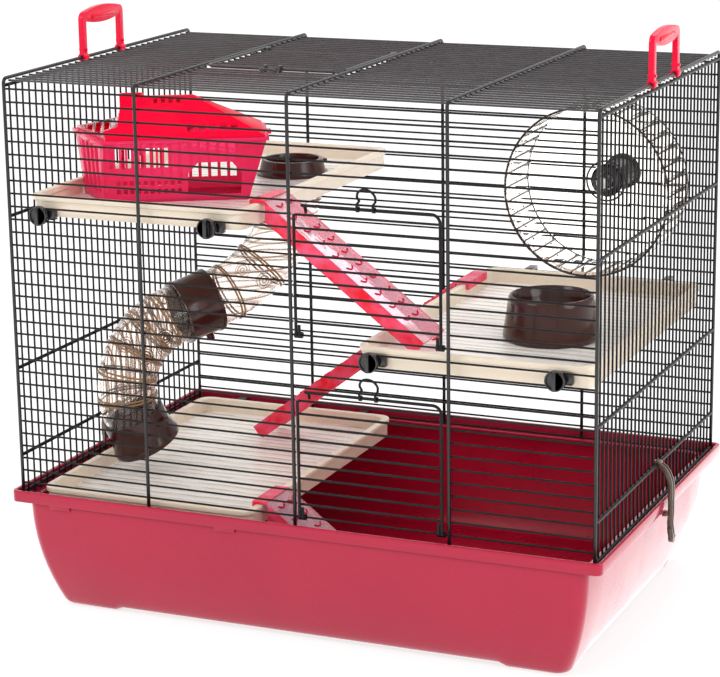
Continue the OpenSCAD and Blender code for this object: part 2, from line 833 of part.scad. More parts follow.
// A bend of the lower elbow, from one angle to another
module lower_bend(from, to, inner, outer) {
    translate([elbow_x + lower_bend_r, 0, elbow_z]) rotate([90, 0, 0])
        rotate([0, 0, 180 - to]) rotate_extrude(angle = to - from)
            translate([lower_bend_r, 0]) pipe_ring(inner, outer);
}

module upper_bend(from, to, inner, outer) {
    translate([tube_top_x - upper_bend_r, 0, tube_top_z]) rotate([90, 0, 0])
        rotate([0, 0, from]) rotate_extrude(angle = to - from)
            translate([upper_bend_r, 0]) pipe_ring(inner, outer);
}

module straight_pipe(from, to, inner, outer) {
    translate([straight_x, 0, straight_z]) rotate([0, 90 - climb_angle, 0])
        translate([0, 0, from]) linear_extrude(to - from) pipe_ring(inner, outer);
}

joint_at = tube_straight / 2;
rib_in_r = bore_r + tube_wall / 2;
// The straight ends are a touch thicker than the bends they grow from
end_r = tube_r + 0.15;
end_bore_r = bore_r - 0.1;

module tube_lower() {
    color(smoke_colour) in_tunnel() {
        lower_bend(-foot_angle, 90 - climb_angle, bore_r, tube_r);
        straight_pipe(-1, joint_at - 0.5, end_bore_r, end_r);
        for (a = [0, 21, 42, 63], d = [-1.9, 0.9])
            lower_bend(a + d, a + d + 1, rib_in_r, tube_r + 1);
    }
}

module tube_upper() {
    color(smoke_colour) in_tunnel() {
        straight_pipe(joint_at + 0.5, tube_straight + 1, end_bore_r, end_r);
        upper_bend(-90 + climb_angle, 0, bore_r, tube_r);
        for (a = [-66, -49, -32], d = [-1.25, 0.55])
            upper_bend(a + d, a + d + 0.7, rib_in_r, tube_r + 1);
    }
}

module tube_middle_collar() {
    from = joint_at - collar_l / 2;
    to = joint_at + collar_l / 2;
    outer = tube_r + collar_t;
    color(brown_colour) in_tunnel() {
        straight_pipe(from, to, end_r, outer);
        straight_pipe(from, from + 3, tube_r + 1, outer + 1.2);
        straight_pipe(to - 3, to, tube_r + 1, outer + 1.2);
        translate([straight_x, 0, straight_z]) rotate([0, 90 - climb_angle, 0])
            translate([tube_r + 1, 0, joint_at + 6]) rotate([0, 90, 0])
                cylinder(r = 4, h = collar_t + 6);
    }
}

module foot_frame() {
    c = elbow_x + lower_bend_r;
    translate([c - lower_bend_r * cos(foot_angle), 0, elbow_z - lower_bend_r * sin(foot_angle)])
        rotate([0, 180 - foot_angle, 0]) children();
}

module tube_foot_collar() {
    color(brown_colour) in_tunnel() foot_frame() difference() {
        union() {
            translate([0, 0, -5]) cylinder(r = tube_r + collar_t, h = 18);
            translate([0, 0, 12]) cylinder(r1 = tube_r + collar_t, r2 = tube_r + collar_t + 3, h = 14);
            translate([0, 0, 25]) cylinder(r = tube_r + collar_t + 3, h = 4);
            for (a = [60, -120]) rotate([0, 0, a]) translate([tube_r - 1, -5, 4])
                cube([10, 10, 5]);
        }
        translate([0, 0, -6]) cylinder(r = tube_r + 0.25, h = 6);
        translate([0, 0, -1]) cylinder(r = bore_r, h = 32);
        translate([0, 0, 2.5]) cylinder(r = tube_r, h = 32);
    }
}

// Flanged collar that carries the tunnel in the shelf and stands up as its mouth
module tube_top_collar() {
    floor_z = shelf_upper_z + shelf_floor;
    under = tube_at[2] + tube_top_z;
    color(brown_colour) translate([top_x, top_y, 0]) rotate([0, 0, tube_turn]) difference() {
        union() {
            translate([0, 0, under - 4]) cylinder(r = tube_r + collar_t, h = floor_z - under + 5);
            translate([0, 0, floor_z]) cylinder(r1 = tube_r + 5, r2 = tube_r + collar_t - 1, h = 15);
            translate([0, 0, floor_z]) cylinder(r = tube_r + 7, h = 2);
            translate([tube_r - 1, -3, floor_z + 9]) cube([9, 6, 3]);
        }
        translate([0, 0, under - 5]) cylinder(r = tube_r, h = 5);
        translate([0, 0, under - 1]) cylinder(r = bore_r, h = 60);
    }
}

// ---- hut ----

module in_hut() {
    translate(hut_at) rotate([0, 0, hut_turn]) children();
}

// A solid with one outline seen from the front and another seen from the end
module crossed(l, d) {
    intersection() {
        rotate([90, 0, 0]) linear_extrude(d, center = true) children(0);
        rotate([90, 0, 90]) linear_extrude(l, center = true) children(1);
    }
}

// Plan of the hut: three square sides and a left end that spreads towards the back
module hut_plan(l, d) {
    polygon([[-l / 2, -d / 2], [l / 2, -d / 2], [l / 2, d / 2], [-l / 2 - d * tan(hut_splay), d / 2]]);
}

// Everything to the left of the hut's left end, which passes through [x, y] at the rim
module left_of(x, y, lean) {
    far = 2 * hut_l;
    translate([x, y, hut_h]) rotate([0, 0, hut_splay]) rotate([0, -lean, 0])
        translate([-far, -far, -far]) cube([far, 2 * far, 2 * far]);
}

// A tapering block: its foot is smaller than its rim
module hut_block(l, d) {
    left = -l / 2 - hut_spread;
    difference() {
        crossed(2 * hut_l, d) {
            polygon([[left, 0], [l / 2 - hut_lean_x, 0], [l / 2, hut_h], [left, hut_h]]);
            polygon([[hut_lean_y - d / 2, 0], [d / 2 - hut_lean_y, 0], [d / 2, hut_h], [-d / 2, hut_h]]);
        }
        left_of(-l / 2, -d / 2, hut_left_lean);
    }
}

// An opening through the front wall of the hut, drawn as it is seen
module front_cut() {
    translate([0, -hut_d / 2 + hut_lean_y + 6, 0]) rotate([90, 0, 0])
        linear_extrude(hut_lean_y + 12) children();
}

module house_base() {
    in_l = hut_l - 2 * hut_wall;
    in_d = hut_d - 2 * hut_wall;
    slot_top = hut_h - 8;
    color(red_colour) in_hut() {
        difference() {
            hut_block(hut_l, hut_d);
            translate([0, 0, hut_wall]) hut_block(in_l, in_d);
            // Doorway, upright slots and two rows of small windows in the front wall
            front_cut() polygon([[1, 6], [50, 6], [51, 26], [42, 37], [11, 37], [2, 27]]);
            front_cut() for (x = [-70 : 5.6 : -18]) translate([x, 33]) square([3.4, slot_top - 33]);
            front_cut() for (x = [-64 : 6.2 : -8], z = [8, 16]) translate([x, z]) square([3.6, 4.6]);
            // Slots in the back wall and the left end, braces across the right end
            for (x = [-63 : 9 : 45]) translate([x - 3, 10, 12]) cube([6, hut_d, slot_top - 12]);
            for (y = [-18 : 12 : 18]) translate([-2 * hut_l, y - 4, 9]) cube([2 * hut_l - 30, 8, slot_top - 9]);
            translate([30, 0, 0]) rotate([90, 0, 90]) linear_extrude(hut_l) {
                for (s = [-1, 1]) polygon([[s * 4, slot_top], [s * 28, slot_top], [s * 28, 34]]);
                polygon([[-20, 30], [0, slot_top - 7], [20, 30]]);
            }
        }
        // Rim band, with a tab at the right end
        difference() {
            translate([0, 0, hut_h - 3]) linear_extrude(3) union() {
                hut_plan(hut_l + 3, hut_d + 3);
                square([hut_l + 10, 14], center = true);
            }
            translate([0, 0, hut_h - 4]) linear_extrude(5) hut_plan(in_l - 1.4, in_d - 1.2);
        }
    }
}

// The roof seen from the front: a low slope and a steep gable on the left, a hip on the right
module roof_front(t) {
    x = hut_l / 2 - 2 - t * 1.4;
    left = -x - hut_spread;
    polygon([[left, 0], [left, 1.5], [gable_x + t * 0.8, 10.5 - t], [ridge_x[0] + t, hut_roof_h - t],
             [ridge_x[1] - t * 0.3, hut_roof_h - t], [x, 1.5], [x, 0]]);
}

module roof_end(t) {
    y = hut_d / 2 + 1 - t * 1.5;
    polygon([[-y, 0], [-y, 1.5], [-2, hut_roof_h + 0.5 - t], [2, hut_roof_h + 0.5 - t], [y, 1.5], [y, 0]]);
}

// The hollow form of the roof, or its outside where t is 0
module roof_form(t) {
    far = 2 * hut_l;
    difference() {
        crossed(far, far) {
            roof_front(t);
            roof_end(t);
        }
        left_of(2 + t - hut_l / 2, -hut_d / 2, 0);
    }
}

module house_roof() {
    chimney_in = 2.4;
    color(red_colour) in_hut() translate([0, 0, hut_h + slip]) {
        difference() {
            union() {
                roof_form(0);
                // Flat-topped chimney at the left end of the ridge
                translate([ridge_x[0] - 3, -chimney_w / 2, 10]) cube([chimney_l, chimney_w, hut_roof_h - 8]);
            }
            translate([0, 0, -0.01]) roof_form(roof_t);
            translate([ridge_x[0] - 3 + chimney_in, chimney_in - chimney_w / 2, -1])
                cube([chimney_l - 2 * chimney_in, chimney_w - 2 * chimney_in, hut_roof_h + 10]);
            for (y = [-6, 0, 6]) translate([gable_x - 9, y - 1.6, 16]) cube([14, 3.2, hut_roof_h - 20]);
            // Slats of the low slope, slots below the ridge and along the front eave
            for (x = [-90, -82, -74]) translate([x, -28, 2.4]) cube([5, 56, 12]);
            for (x = [-28 : 7 : -6]) translate([x, -9, hut_roof_h - 12]) cube([3.6, 6, 14]);
            for (x = [2 : 10 : 42]) translate([x, -hut_d / 2 + 4, 3.4]) cube([6.4, 7, 9]);
        }
        // Locating skirt inside the rim
        difference() {
            translate([0, 0, -3]) linear_extrude(4) hut_plan(hut_l - 9, hut_d - 9);
            translate([0, 0, -4]) linear_extrude(6) hut_plan(hut_l - 12, hut_d - 12);
        }
    }
}

// ---- bowl ----

module bowl() {
    color(brown_colour) translate(bowl_at + [0, 0, slip]) rotate_extrude() polygon(concat(
        [[0, 4], [bowl_base_r - 8, 4], [bowl_base_r - 5, 0], [bowl_base_r - 1, 0], [bowl_base_r, 2]],
        [[bowl_base_r - 0.6, 6], [bowl_rim_r + 1, bowl_h - 6]],
        [for (a = [0 : 30 : 180]) [bowl_rim_r - 1.8 + 1.8 * cos(a), bowl_h - 1.8 + 1.8 * sin(a)]],
        [[bowl_rim_r - 7, 16], [bowl_rim_r - 12, 10], [0, 9]]));
}

// ---- ramps ----

// A ramp that hooks on a lip at the origin and runs down along +X, its middle on y = 0.
// `drop` is the fall from the lip's top to the floor the ramp's end stands on.
module ramp(drop) {
    run_l = (drop - ramp_flange * cos(ramp_slope) - ramp_end_clear) / sin(ramp_slope) + 3;
    color(red_colour) translate([0, -ramp_w / 2, 0]) {
        // Hook over the lip
        translate([-hook_reach, 0, slip]) cube([hook_reach + ramp_nose + 1, ramp_w, ramp_t]);
        translate([-hook_reach, 0, -hook_drop]) cube([ramp_t, ramp_w, hook_drop + slip + 1]);
        translate([ramp_nose, 0, slip]) rotate([0, ramp_slope, 0]) {
            cube([run_l, ramp_w, ramp_t]);
            for (y = [0, ramp_w - ramp_t]) translate([0, y, 0]) rotate([90, 0, 0])
                mirror([0, 0, 1]) linear_extrude(ramp_t) polygon([
                    [2, 1], [run_l, 1], [run_l, -ramp_flange + ramp_t + 3],
                    [run_l - 3, -ramp_flange + ramp_t],
                    [2 + (ramp_flange - ramp_t) * tan(ramp_slope), -ramp_flange + ramp_t]]);
            // Curved tread marks in two columns
            for (x = [12 : 17 : run_l - 12], y = [0.3, 0.7])
                translate([x - 7, ramp_w * y, ramp_t - 0.5]) rotate([0, 0, -55])
                    rotate_extrude(angle = 110) translate([6.5, 0]) square([1.4, 1.7]);
        }
    }
}

module ramp_upper() {
    translate([shelf_left_x + shelf_w / 2, ramp_upper_y, shelf_upper_z])
        ramp(shelf_upper_z - shelf_middle_z + shelf_recess);
}

module ramp_middle() {
    translate([shelf_right_x - shelf_w / 2, ramp_middle_y, shelf_middle_z]) mirror([1, 0, 0])
        ramp(shelf_middle_z - shelf_lower_z + shelf_recess);
}

module ramp_lower() {
    translate([shelf_left_x + shelf_w / 2, ramp_lower_y, shelf_lower_z])
        ramp(shelf_lower_z - foot_h - floor_t);
}

tray();
hoops();
front_wires();
back_wires();
roof_wires();
side_rods(-1);  // side_left_rods
side_rails(-1);  // side_left_rails
side_rods(1);  // side_right_rods
side_rails(1);  // side_right_rails
door_upper();
door_lower();
door_top();
latch_upper();
latch_lower();
latch_top();
handle(-1);  // handle_left
handle(1);  // handle_right
clip(-1);  // clip_left
clip(1);  // clip_right
shelf_upper();
shelf_middle();
shelf_lower();
shelf_hooks();
knob_lugs();
knob_at(shelf_left_x + knob_off[0], knob_upper_z);  // knob_upper_left
knob_at(shelf_left_x + knob_off[1], knob_upper_z);  // knob_upper_right
knob_at(shelf_right_x + knob_off[0], knob_middle_z);  // knob_middle_left
knob_at(shelf_right_x + knob_off[1], knob_middle_z);  // knob_middle_right
wheel_drum();
wheel_hub();
wheel_axle();
wheel_stand();
wheel_bolt();
tube_upper();
tube_lower();
tube_top_collar();
tube_middle_collar();
tube_foot_collar();
house_base();
house_roof();
bowl();
ramp_upper();
ramp_middle();
ramp_lower();
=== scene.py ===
import bpy
import json
from math import cos, pi, radians, sin
from mathutils import Matrix, Vector

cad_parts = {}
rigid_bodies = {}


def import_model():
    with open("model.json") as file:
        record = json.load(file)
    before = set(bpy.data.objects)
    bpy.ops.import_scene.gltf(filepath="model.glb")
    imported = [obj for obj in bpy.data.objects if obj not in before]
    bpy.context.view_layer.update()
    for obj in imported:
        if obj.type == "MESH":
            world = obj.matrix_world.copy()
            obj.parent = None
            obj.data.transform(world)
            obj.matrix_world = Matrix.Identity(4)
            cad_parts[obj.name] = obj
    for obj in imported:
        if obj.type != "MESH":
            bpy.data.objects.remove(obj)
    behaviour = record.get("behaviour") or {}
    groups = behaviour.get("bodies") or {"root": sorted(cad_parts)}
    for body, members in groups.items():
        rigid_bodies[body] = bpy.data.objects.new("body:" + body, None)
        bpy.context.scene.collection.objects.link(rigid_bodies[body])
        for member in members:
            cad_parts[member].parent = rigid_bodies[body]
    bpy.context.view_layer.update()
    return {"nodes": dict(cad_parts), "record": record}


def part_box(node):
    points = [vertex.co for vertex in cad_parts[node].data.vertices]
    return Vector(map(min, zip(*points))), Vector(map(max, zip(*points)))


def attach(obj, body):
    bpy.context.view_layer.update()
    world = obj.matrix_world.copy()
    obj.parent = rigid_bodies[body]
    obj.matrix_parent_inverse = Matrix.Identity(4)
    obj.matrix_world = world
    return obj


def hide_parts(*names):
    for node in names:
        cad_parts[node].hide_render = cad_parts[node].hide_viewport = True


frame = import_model()
nodes = frame["nodes"]
bodyOfNode = {n: b for b, group in frame["record"]["behaviour"]["bodies"].items() for n in group}
print("frame loaded:", len(nodes), "nodes")

# Lengths are in metres and angles in degrees, here and below
cameraView = {
    "azimuth": 23.515,
    "elevation": 14.373,
    "roll": -0.81,
    "distance": 2.3589,
    "aim": (-0.01423, 0.12578),  # how far the camera stands across and up, in its own view
    "aimHeight": 0.112,
    "lens": 123.07,
    "sensor": 36,
    "farEnd": 20,
}


def addCamera():
    v = cameraView
    az, el, ro = radians(v["azimuth"]), radians(v["elevation"]), radians(v["roll"])
    back = Vector((sin(az) * cos(el), -cos(az) * cos(el), sin(el)))
    level = Vector((cos(az), sin(az), 0))
    up = back.cross(level)
    right = level * cos(ro) + up * sin(ro)
    top = up * cos(ro) - level * sin(ro)
    place = back * v["distance"] + right * v["aim"][0] + top * v["aim"][1]
    place.z += v["aimHeight"]
    bpy.ops.object.camera_add(location=place)
    camera = bpy.context.object
    camera.rotation_euler = Matrix((right, top, back)).transposed().to_euler()
    camera.data.lens = v["lens"]
    camera.data.sensor_width = v["sensor"]
    camera.data.clip_end = v["farEnd"]
    bpy.context.scene.camera = camera


addCamera()


def newMaterial(name, **values):
    # Principled material; the values go straight on the shader's own sockets
    mat = bpy.data.materials.new(name)
    mat.use_nodes = True
    shader = mat.node_tree.nodes["Principled BSDF"]
    for key, value in values.items():
        shader.inputs[key].default_value = value
    return mat, mat.node_tree, shader


def coords(tree, scale=(1, 1, 1), turn=(0, 0, 0), shift=(0, 0, 0)):
    texCoord = tree.nodes.new("ShaderNodeTexCoord")
    mapping = tree.nodes.new("ShaderNodeMapping")
    mapping.inputs["Scale"].default_value = scale
    mapping.inputs["Rotation"].default_value = [radians(a) for a in turn]
    mapping.inputs["Location"].default_value = shift
    tree.links.new(texCoord.outputs["Object"], mapping.inputs["Vector"])
    return mapping.outputs["Vector"]


def noise(tree, vector, scale, detail=3, roughness=0.5, distortion=0):
    node = tree.nodes.new("ShaderNodeTexNoise")
    node.inputs["Scale"].default_value = scale
    node.inputs["Detail"].default_value = detail
    node.inputs["Roughness"].default_value = roughness
    node.inputs["Distortion"].default_value = distortion
    tree.links.new(vector, node.inputs["Vector"])
    return node.outputs["Fac"]


def waveLines(tree, vector, direction, **values):
    node = tree.nodes.new("ShaderNodeTexWave")
    node.bands_direction = direction
    for key, value in values.items():
        node.inputs[key].default_value = value
    tree.links.new(vector, node.inputs["Vector"])
    return node.outputs["Fac"]


def ramp(tree, fac, stops):
    node = tree.nodes.new("ShaderNodeValToRGB")
    elements = node.color_ramp.elements
    while len(elements) < len(stops):
        elements.new(0.5)
    for element, (place, colour) in zip(elements, stops):
        element.position = place
        element.color = (*colour, 1) if len(colour) == 3 else colour
    tree.links.new(fac, node.inputs["Fac"])
    return node.outputs["Color"]


def mixed(tree, share, first, second):
    # Two colours mixed; each is a colour or another node's output
    node = tree.nodes.new("ShaderNodeMix")
    node.data_type = "RGBA"
    tree.links.new(share, node.inputs["Factor"])
    for key, value in (("A", first), ("B", second)):
        if isinstance(value, tuple):
            node.inputs[key].default_value = (*value, 1)
        else:
            tree.links.new(value, node.inputs[key])
    return node.outputs["Result"]


def span(tree, value, low, high, fromLow=0, fromHigh=1):
    node = tree.nodes.new("ShaderNodeMapRange")
    node.inputs["From Min"].default_value = fromLow
    node.inputs["From Max"].default_value = fromHigh
    node.inputs["To Min"].default_value = low
    node.inputs["To Max"].default_value = high
    tree.links.new(value, node.inputs["Value"])
    return node.outputs["Result"]


def bump(tree, height, shader, strength=0.2, distance=0.0005):
    node = tree.nodes.new("ShaderNodeBump")
    node.inputs["Strength"].default_value = strength
    node.inputs["Distance"].default_value = distance
    tree.links.new(height, node.inputs["Height"])
    tree.links.new(node.outputs["Normal"], shader.inputs["Normal"])


def maths(tree, operation, first, second):
    # A maths node; each operand is a number or another node's output
    node = tree.nodes.new("ShaderNodeMath")
    node.operation = operation
    for socket, value in zip(node.inputs, (first, second)):
        if isinstance(value, (int, float)):
            socket.default_value = value
        else:
            tree.links.new(value, socket)
    return node.outputs[0]


def vectorMaths(tree, operation, first, second):
    node = tree.nodes.new("ShaderNodeVectorMath")
    node.operation = operation
    node.inputs[1].default_value = second
    tree.links.new(first, node.inputs[0])
    return node.outputs["Value" if operation == "DISTANCE" else "Vector"]


def tinted(colour, factor):
    return tuple(min(1, c * factor) for c in colour)


def mouldedPlastic(name, colour, roughness=0.25, spread=0.06, grain=900, relief=0.12, **values):
    # Coloured plastic with a slight flow pattern, uneven gloss and fine skin
    mat, tree, shader = newMaterial(name, **values)
    flow = noise(tree, coords(tree, (1, 1, 0.6)), 9, 4, 0.6, 0.4)
    stops = [(0.3, tinted(colour, 1 - spread)), (0.7, tinted(colour, 1 + spread))]
    tree.links.new(ramp(tree, flow, stops), shader.inputs["Base Color"])
    patches = noise(tree, coords(tree), 26, 3)
    tree.links.new(span(tree, patches, roughness * 0.8, roughness * 1.25, 0.3, 0.7),
                   shader.inputs["Roughness"])
    bump(tree, noise(tree, coords(tree), grain, 2), shader, relief)
    return mat


def clearPlastic(name, colour, roughness, transmission, ior=1.3, shine=0.4, spread=0.05,
                 patches=14):
    mat, tree, shader = newMaterial(name, **{"Transmission Weight": transmission, "IOR": ior,
                                             "Specular IOR Level": shine})
    flow = noise(tree, coords(tree), patches, 3, 0.5, 0.3)
    paler, deeper = [(colour[0], *tinted(colour[1:], 1 + way * spread)) for way in (1, -1)]
    stops = [(0.3, deeper), (0.7, paler)]
    tree.links.new(ramp(tree, flow, stops), shader.inputs["Base Color"])
    tree.links.new(span(tree, noise(tree, coords(tree), 40, 2), roughness * 0.7, roughness * 1.4),
                   shader.inputs["Roughness"])
    bump(tree, noise(tree, coords(tree), 160, 2), shader, 0.08)
    return mat


colours = {
    "tray": (0.385, 0.013, 0.043),
    # the inside of the tray: the same red painted darker and deeper, painted shade where the walls
    # and the cage keep light out
    "trayInsidePaintedShade": (0.38, 0.002, 0.024),
    "wire": (0.008, 0.007, 0.008),
    # the roof wires: the wire colour painted lighter, painted light from the top light
    "wireRoofPaintedLight": (0.030, 0.025, 0.027),
    "shelf": (0.84, 0.72, 0.575),
    "shelfFloor": (0.92, 0.88, 0.83),
    "shelfGrain": (0.52, 0.44, 0.37),
    "handle": (0.74, 0.002, 0.038),
    "clip": (0.085, 0.055, 0.036),
    "black": (0.010, 0.009, 0.010),
    "brown": (0.040, 0.012, 0.009),
    "tunnel": (0.96, 0.90, 0.86),
    "tunnelUpper": (0.96, 0.90, 0.86),
    "tunnelLine": (0.16, 0.085, 0.05),
    "tunnelRib": (0.34, 0.20, 0.10),
    "clear": (0.95, 0.93, 0.90),
    "clearEdge": (0.055, 0.032, 0.024),
    "house": (1.0, 0.055, 0.19),
    "housePale": (1.0, 0.62, 0.70),
    "houseRoof": (0.95, 0.0, 0.036),
    "rampTread": (1.0, 0.70, 0.79),
    "rampFlange": (1.0, 0.09, 0.17),
    "rampMark": (0.55, 0.004, 0.06),
    "axle": (0.55, 0.54, 0.52),
}


def paintedWire(name, colour, shine):
    mat, tree, shader = newMaterial(name, **{"Coat Weight": 0.04, "Coat Roughness": 0.15,
                                             "Specular IOR Level": shine})
    runs = noise(tree, coords(tree), 60, 3, 0.6)
    stops = [(0.3, tinted(colour, 0.7)), (0.75, tinted(colour, 1.6))]
    tree.links.new(ramp(tree, runs, stops), shader.inputs["Base Color"])
    tree.links.new(span(tree, noise(tree, coords(tree), 220, 2), 0.28, 0.46),
                   shader.inputs["Roughness"])
    bump(tree, noise(tree, coords(tree), 700, 3), shader, 0.25)
    return mat


def axleSteel():
    mat, tree, shader = newMaterial("axleSteel", **{"Metallic": 1.0})
    turned = noise(tree, coords(tree, (1, 40, 1)), 120, 2)
    stops = [(0.3, tinted(colours["axle"], 0.8)), (0.7, tinted(colours["axle"], 1.1))]
    tree.links.new(ramp(tree, turned, stops), shader.inputs["Base Color"])
    tree.links.new(span(tree, turned, 0.22, 0.38), shader.inputs["Roughness"])
    bump(tree, turned, shader, 0.2)
    return mat


def shelfPlastic():
    # Cream lip and sides, with a soft moulded flow
    mat, tree, shader = newMaterial("shelfCream", **{"Coat Weight": 0.15, "Coat Roughness": 0.2,
                                                     "Subsurface Weight": 0.06})
    shader.inputs["Subsurface Radius"].default_value = (0.004, 0.003, 0.002)
    streak = noise(tree, coords(tree, (2, 9, 9)), 9, 4, 0.6, 0.8)
    stops = [(0.30, tinted(colours["shelf"], 0.95)), (0.72, tinted(colours["shelf"], 1.04))]
    tree.links.new(ramp(tree, streak, stops), shader.inputs["Base Color"])
    tree.links.new(span(tree, streak, 0.24, 0.40), shader.inputs["Roughness"])
    bump(tree, streak, shader, 0.25, 0.0005)
    return mat


def grainedFloor():
    # Wood-like relief on the floor of a shelf: long wavy lines along X
    mat, tree, shader = newMaterial("shelfGrain", **{"Coat Weight": 0.1, "Coat Roughness": 0.25})
    waves = waveLines(tree, coords(tree, (0.22, 1, 1)), "Y", **{
        "Scale": 26, "Distortion": 7, "Detail": 3, "Detail Scale": 0.55, "Detail Roughness": 0.6})
    fine = noise(tree, coords(tree, (5, 60, 20)), 7, 4, 0.65)
    grain = maths(tree, "ADD", maths(tree, "MULTIPLY", waves, 0.6),
                  span(tree, fine, 0, 0.45, 0.25, 0.75))
    stops = [(0.16, colours["shelfGrain"]), (0.34, colours["shelfFloor"]),
             (0.9, tinted(colours["shelfFloor"], 1.06))]
    tree.links.new(ramp(tree, grain, stops), shader.inputs["Base Color"])
    tree.links.new(span(tree, grain, 0.30, 0.12), shader.inputs["Roughness"])
    bump(tree, grain, shader, 0.6, 0.0010)
    return mat


def tunnelPlastic(name, colour, direction, spacing, wander, width, knots, lineShare=1):
    # Clear smoky plastic printed with wood grain; the lines bend round a few knots
    t = tunnelSizes
    mat, tree, shader = newMaterial(name, **{"Transmission Weight": 0.96, "IOR": 1.35,
                                             "Roughness": 0.07})
    shift = -(Matrix.Rotation(-radians(t["turn"]), 3, "Z") @ Vector(t["foot"]))
    plane = coords(tree, (1, 1, 1), (0, 0, -t["turn"]), shift)
    level = vectorMaths(tree, "MULTIPLY", plane, (1, 0, 1))
    # A wave of scale 1 has 20 radians to a unit of length
    waves = waveLines(tree, vectorMaths(tree, "MULTIPLY", plane, (1, 0.35, 1)), direction, **{
        "Scale": 2 * pi / 20 / spacing, "Distortion": wander, "Detail": 1, "Detail Scale": 0.2})
    lines = ramp(tree, waves, [(width * 0.5, (0, 0, 0)), (width, (1, 1, 1))])
    for x, z in knots:
        # Rings round one knot take the place of the lines
        away = vectorMaths(tree, "DISTANCE", level, (x, 0, z))
        phase = span(tree, away, 0, 2 * pi * t["knotRings"], 0, t["knotReach"])
        drawn = ramp(tree, maths(tree, "SINE", phase, 0), [(0.0, (0, 0, 0)), (0.3, (1, 1, 1))])
        near = span(tree, away, 1, 0, *t["knotFade"])
        lines = mixed(tree, near, lines, drawn)
    tone = mixed(tree, span(tree, lines, 1 - lineShare, 1), colours["tunnelLine"], colour)
    tree.links.new(tone, shader.inputs["Base Color"])
    bump(tree, lines, shader, 0.4, 0.0004)
    return mat


# The tunnel's grain is laid out in its own plane, so its sizes come before the materials
tunnelSizes = {
    "foot": (-0.224, -0.058, 0.11205), "turn": 49.5,
    "radius": 0.0281, "wall": 0.0021, "climb": 15,
    "lowerCentre": (0.060, 0.075), "lowerBend": 0.070, "lowerFrom": -25,
    "upperBend": 0.114, "straight": 0.045, "gap": 0.0006,
    "lowerRibs": (-6, 12, 31, 49, 64), "upperRibs": (-68, -47, -27, -8),
    "ribReach": 0.0003, "ribThick": 0.0010, "ribPair": 0.0030,
    "lowerKnots": ((0.0, 0.112), (-0.006, 0.068), (0.021, 0.128)),
    "upperKnots": ((0.125, 0.172),), "knotRings": 3, "knotReach": 0.0085,
    "knotFade": (0.0075, 0.0088),
    "roundSteps": 48, "ribSteps": 8, "bendStep": 3.5, "fewestSteps": 12, "same": 0.00001,
    "smooth": 60, "collarEdge": 0.0007, "collarAngle": 30,
}

materials = {
    "tray": mouldedPlastic("trayRed", colours["tray"], 0.24, 0.05, 1200, 0.10,
                           **{"Coat Weight": 0.9, "Coat Roughness": 0.1, "Coat IOR": 1.25,
                              "Specular IOR Level": 0.12}),
    # the inside's material carries painted shade: a darker red than the outside
    "trayInsidePaintedShade": mouldedPlastic("trayRedPaintedShade", colours["trayInsidePaintedShade"], 0.30, 0.08, 1200, 0.10,
                                 **{"Specular IOR Level": 0.3}),
    "wire": paintedWire("wirePaint", colours["wire"], 0.12),
    "wireRoofPaintedLight": paintedWire("wirePaintedLight", colours["wireRoofPaintedLight"], 0.45),
    "wireHoop": paintedWire("wirePaintHoop", colours["wire"], 0.35),
    "shelf": shelfPlastic(),
    "shelfFloor": grainedFloor(),
    "handle": mouldedPlastic("handleRed", colours["handle"], 0.22, 0.05,
                             **{"Specular IOR Level": 0.2}),
    "clip": mouldedPlastic("clipBronze", colours["clip"], 0.2, 0.15),
    "black": mouldedPlastic("knobBlack", colours["black"], 0.2, 0.3),
    "brown": mouldedPlastic("collarBrown", colours["brown"], 0.14, 0.2,
                            **{"Coat Weight": 0.1, "Coat Roughness": 0.05,
                               "Specular IOR Level": 0.3}),
    "tunnel": tunnelPlastic("tunnelGrain", colours["tunnel"], "X", 0.0056, 1.6, 0.10,
                            tunnelSizes["lowerKnots"]),
    "tunnelUpper": tunnelPlastic("tunnelPale", colours["tunnelUpper"], "Z", 0.013, 5, 0.05,
                                 tunnelSizes["upperKnots"], 0.75),
    "tunnelRib": clearPlastic("tunnelRib", colours["tunnelRib"], 0.1, 0.15),
    "clear": clearPlastic("wheelClear", colours["clear"], 0.03, 1.0, 1.08, 0.5, 0.02),
    "clearEdge": clearPlastic("wheelEdge", colours["clearEdge"], 0.08, 0.3),
    "house": clearPlastic("housePink", colours["house"], 0.06, 0.45, 1.1, 0.25),
    "housePale": clearPlastic("housePale", colours["housePale"], 0.06, 0.95, 1.2, 0.3),
    "houseRoof": clearPlastic("houseRed", colours["houseRoof"], 0.3, 0.08, 1.3, 0.12),
    "rampTread": clearPlastic("rampPink", colours["rampTread"], 0.08, 0.75, 1.15),
    "ramp": clearPlastic("rampRed", colours["rampFlange"], 0.10, 0.28, 1.2, 0.3, 0.8, 55),
    "rampMark": clearPlastic("rampMark", colours["rampMark"], 0.15, 0.2),
    "axle": axleSteel(),
}
slotOfNode = {s["node"]: s["material_slot"] for s in frame["record"]["subparts"]}
# Wire paint of other shine: the roof wires, door top and latch top get a copy whose base colour is
# painted lighter, painted light where the top light falls, and which is more specular; the hoops
# are only more specular
paintOfNode = {"roof_wires": "wireRoofPaintedLight", "door_top": "wireRoofPaintedLight", "latch_top": "wireRoofPaintedLight",
               "hoops": "wireHoop"}
for name, node in nodes.items():
    for materialSlot in node.material_slots:
        materialSlot.material = materials[paintOfNode.get(name, slotOfNode[name])]
print("materials made")


def deselectAll():
    if bpy.context.mode != "OBJECT":
        bpy.ops.object.mode_set(mode="OBJECT")
    bpy.ops.object.select_all(action="DESELECT")


def pick(obj):
    deselectAll()
    obj.select_set(True)
    bpy.context.view_layer.objects.active = obj


def editAll(obj, kind="VERT"):
    pick(obj)
    bpy.ops.object.mode_set(mode="EDIT")
    bpy.ops.mesh.select_mode(type=kind)
    bpy.ops.mesh.select_all(action="SELECT")


